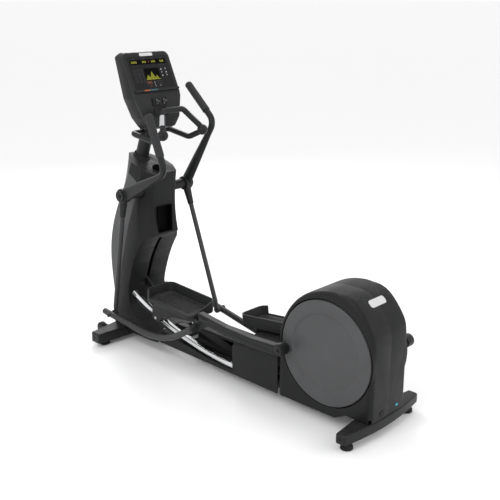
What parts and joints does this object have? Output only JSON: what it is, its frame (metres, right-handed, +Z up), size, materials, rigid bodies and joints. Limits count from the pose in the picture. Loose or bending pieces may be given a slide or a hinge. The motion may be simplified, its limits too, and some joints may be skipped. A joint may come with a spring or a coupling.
{
  "type": "elliptical trainer",
  "caption": "Rear-drive elliptical trainer with crank discs, curved ramp rails, pedal trays, swinging arm levers, slanted tower, mast, fixed handlebar and console.",
  "frame": {"origin": "centre of the bounding box's base, on the floor", "axes": "+X from the console towards the crank discs at the rear, +Y to the user's right-hand side of the machine as seen facing the console, +Z up"},
  "size_m": [2.09, 0.73, 1.8],
  "materials": {
    "shell_plastic": "moulded near-black charcoal plastic, fine grain",
    "side_plastic": "moulded charcoal plastic, fine grain",
    "cover_grey": "moulded mid grey plastic, satin",
    "disc_grey": "moulded mid grey plastic, satin",
    "frame_paint": "charcoal powder coat",
    "lever_paint": "dark grey powder coat, satin",
    "tube_paint": "grey powder coat",
    "rail_chrome": "polished hard chrome",
    "dark_steel": "machined steel",
    "cast_dark": "cast, lightly oiled",
    "belt_rubber": "ribbed rubber",
    "foot_rubber": "moulded rubber",
    "wheel_rubber": "hard rubber tread",
    "roller_nylon": "cast nylon",
    "pedal_plastic": "glass-filled plastic",
    "mat_rubber": "ribbed soft rubber",
    "grip_rubber": "moulded soft grip",
    "plate_silver": "brushed contact plate",
    "badge_white": "plain white plate",
    "indicator_teal": "translucent teal",
    "inlet_black": "moulded inlet",
    "console_plastic": "moulded charcoal plastic",
    "screen_gloss": "printed overlay, gloss black",
    "tray_black": "black liner",
    "paddle_grey": "moulded key"
  },
  "bodies": {
    "base": {"badges": "badge_white", "base_cover_left": "side_plastic", "base_cover_right": "side_plastic", "base_frame": "frame_paint", "bottle_holder": "tray_black", "console_face": "console_plastic", "console_shell": "console_plastic", "contact_plates": "plate_silver", "crank_bearings": "dark_steel", "display_panel": "screen_gloss", "drive_belt": "belt_rubber", "drive_housing_left": "shell_plastic", "drive_housing_right": "shell_plastic", "flywheel_bracket": "frame_paint", "front_cover": "cover_grey", "front_stabiliser": "frame_paint", "handlebar": "lever_paint", "levelling_feet": "foot_rubber", "lift_motor": "frame_paint", "lift_screw": "dark_steel", "mast": "lever_paint", "pivot_shaft": "dark_steel", "pivot_tube": "lever_paint", "power_inlet": "inlet_black", "ramp_frame": "frame_paint", "ramp_pivot_shaft": "dark_steel", "ramp_rail_left": "rail_chrome", "ramp_rail_right": "rail_chrome", "rear_stabiliser": "frame_paint", "spine_cover": "side_plastic", "status_light": "indicator_teal", "storage_tray": "tray_black", "tower_cover": "shell_plastic"},
    "crank": {"crank_axle": "dark_steel", "crank_disc_left": "disc_grey", "crank_disc_right": "disc_grey", "crank_pulley": "cast_dark"},
    "flywheel_rotor": {"flywheel": "cast_dark"},
    "carriage_left": {"roller_axle_left": "dark_steel"},
    "carriage_right": {"roller_axle_right": "dark_steel"},
    "roller_left": {"ramp_roller_left": "roller_nylon"},
    "roller_right": {"ramp_roller_right": "roller_nylon"},
    "arm_left": {"pedal_arm_left": "frame_paint", "pedal_left": "pedal_plastic", "pedal_mat_left": "mat_rubber"},
    "arm_right": {"pedal_arm_right": "frame_paint", "pedal_right": "pedal_plastic", "pedal_mat_right": "mat_rubber"},
    "lever_left": {"swing_lever_left": "lever_paint", "lever_grip_left": "grip_rubber", "swing_rod_left": "tube_paint"},
    "lever_right": {"swing_lever_right": "lever_paint", "lever_grip_right": "grip_rubber", "swing_rod_right": "tube_paint"},
    "link_left": {"link_tube_left": "tube_paint"},
    "link_right": {"link_tube_right": "tube_paint"},
    "wheel_left": {"transport_wheel_left": "wheel_rubber"},
    "wheel_right": {"transport_wheel_right": "wheel_rubber"},
    "resistance_key": {"resistance_paddle": "paddle_grey"},
    "incline_key": {"incline_paddle": "paddle_grey"}
  },
  "joints": [
    {"name": "crank_turn", "type": "hinge", "parent": "base", "child": "crank", "pos_m": [0.748, 0, 0.394], "axis": [0, -1, 0], "range_deg": [0, 180]},
    {"name": "flywheel_spin", "type": "hinge", "parent": "base", "child": "flywheel_rotor", "pos_m": [0.534, 0, 0.168], "axis": [0, -1, 0], "range_deg": [0, 1221.44]},
    {"name": "carriage_left_roll_path", "type": "hinge", "parent": "base", "child": "carriage_left", "pos_m": [0.14, 0, 2.12], "axis": [0, -1, 0], "range_deg": [0, 15.54]},
    {"name": "arm_left_pivot", "type": "hinge", "parent": "carriage_left", "child": "arm_left", "pos_m": [-0.5, -0.2, 0.2614], "axis": [0, -1, 0], "range_deg": [-5.81, 0]},
    {"name": "lever_left_swing", "type": "hinge", "parent": "base", "child": "lever_left", "pos_m": [-0.704, -0.24, 0.99], "axis": [0, -1, 0], "range_deg": [0, 35.56]},
    {"name": "link_left_pivot", "type": "hinge", "parent": "lever_left", "child": "link_left", "pos_m": [-0.89496, -0.24, 0.18843], "axis": [0, -1, 0], "range_deg": [-41.83, 0]},
    {"name": "roller_left_spin", "type": "hinge", "parent": "carriage_left", "child": "roller_left", "pos_m": [-0.5, -0.124, 0.2614], "axis": [0, -1, 0], "continuous": true},
    {"name": "wheel_left_spin", "type": "hinge", "parent": "base", "child": "wheel_left", "pos_m": [-1.005, -0.2325, 0.062], "axis": [0, -1, 0], "continuous": true},
    {"name": "carriage_right_roll_path", "type": "hinge", "parent": "base", "child": "carriage_right", "pos_m": [0.14, 0, 2.12], "axis": [0, -1, 0], "range_deg": [-15.54, 0]},
    {"name": "arm_right_pivot", "type": "hinge", "parent": "carriage_right", "child": "arm_right", "pos_m": [0.02114, 0.2, 0.1579], "axis": [0, -1, 0], "range_deg": [0, 5.81]},
    {"name": "lever_right_swing", "type": "hinge", "parent": "base", "child": "lever_right", "pos_m": [-0.704, 0.24, 0.99], "axis": [0, -1, 0], "range_deg": [-35.56, 0]},
    {"name": "link_right_pivot", "type": "hinge", "parent": "lever_right", "child": "link_right", "pos_m": [-0.39314, 0.24, 0.22689], "axis": [0, -1, 0], "range_deg": [0, 41.83]},
    {"name": "roller_right_spin", "type": "hinge", "parent": "carriage_right", "child": "roller_right", "pos_m": [0.02114, 0.124, 0.1579], "axis": [0, -1, 0], "continuous": true},
    {"name": "wheel_right_spin", "type": "hinge", "parent": "base", "child": "wheel_right", "pos_m": [-1.005, 0.2325, 0.062], "axis": [0, -1, 0], "continuous": true},
    {"name": "resistance_rocker", "type": "hinge", "parent": "base", "child": "resistance_key", "pos_m": [-0.63189, -0.027, 1.52585], "axis": [0, -1, 0], "range_deg": [-10, 10], "stiffness_Nm_per_rad": 0.05},
    {"name": "incline_rocker", "type": "hinge", "parent": "base", "child": "incline_key", "pos_m": [-0.63189, 0.027, 1.52585], "axis": [0, -1, 0], "range_deg": [-10, 10], "stiffness_Nm_per_rad": 0.05}
  ],
  "couplings": [
    {"joint": "flywheel_spin", "follows": "crank_turn", "ratio": 6.7857},
    {"joint": "carriage_left_roll_path", "follows": "crank_turn", "ratio": 0.086301},
    {"joint": "arm_left_pivot", "follows": "crank_turn", "ratio": -0.032279},
    {"joint": "lever_left_swing", "follows": "crank_turn", "ratio": 0.19758},
    {"joint": "link_left_pivot", "follows": "crank_turn", "ratio": -0.2324},
    {"joint": "carriage_right_roll_path", "follows": "crank_turn", "ratio": -0.086301},
    {"joint": "arm_right_pivot", "follows": "crank_turn", "ratio": 0.032279},
    {"joint": "lever_right_swing", "follows": "crank_turn", "ratio": -0.19758},
    {"joint": "link_right_pivot", "follows": "crank_turn", "ratio": 0.2324}
  ]
}
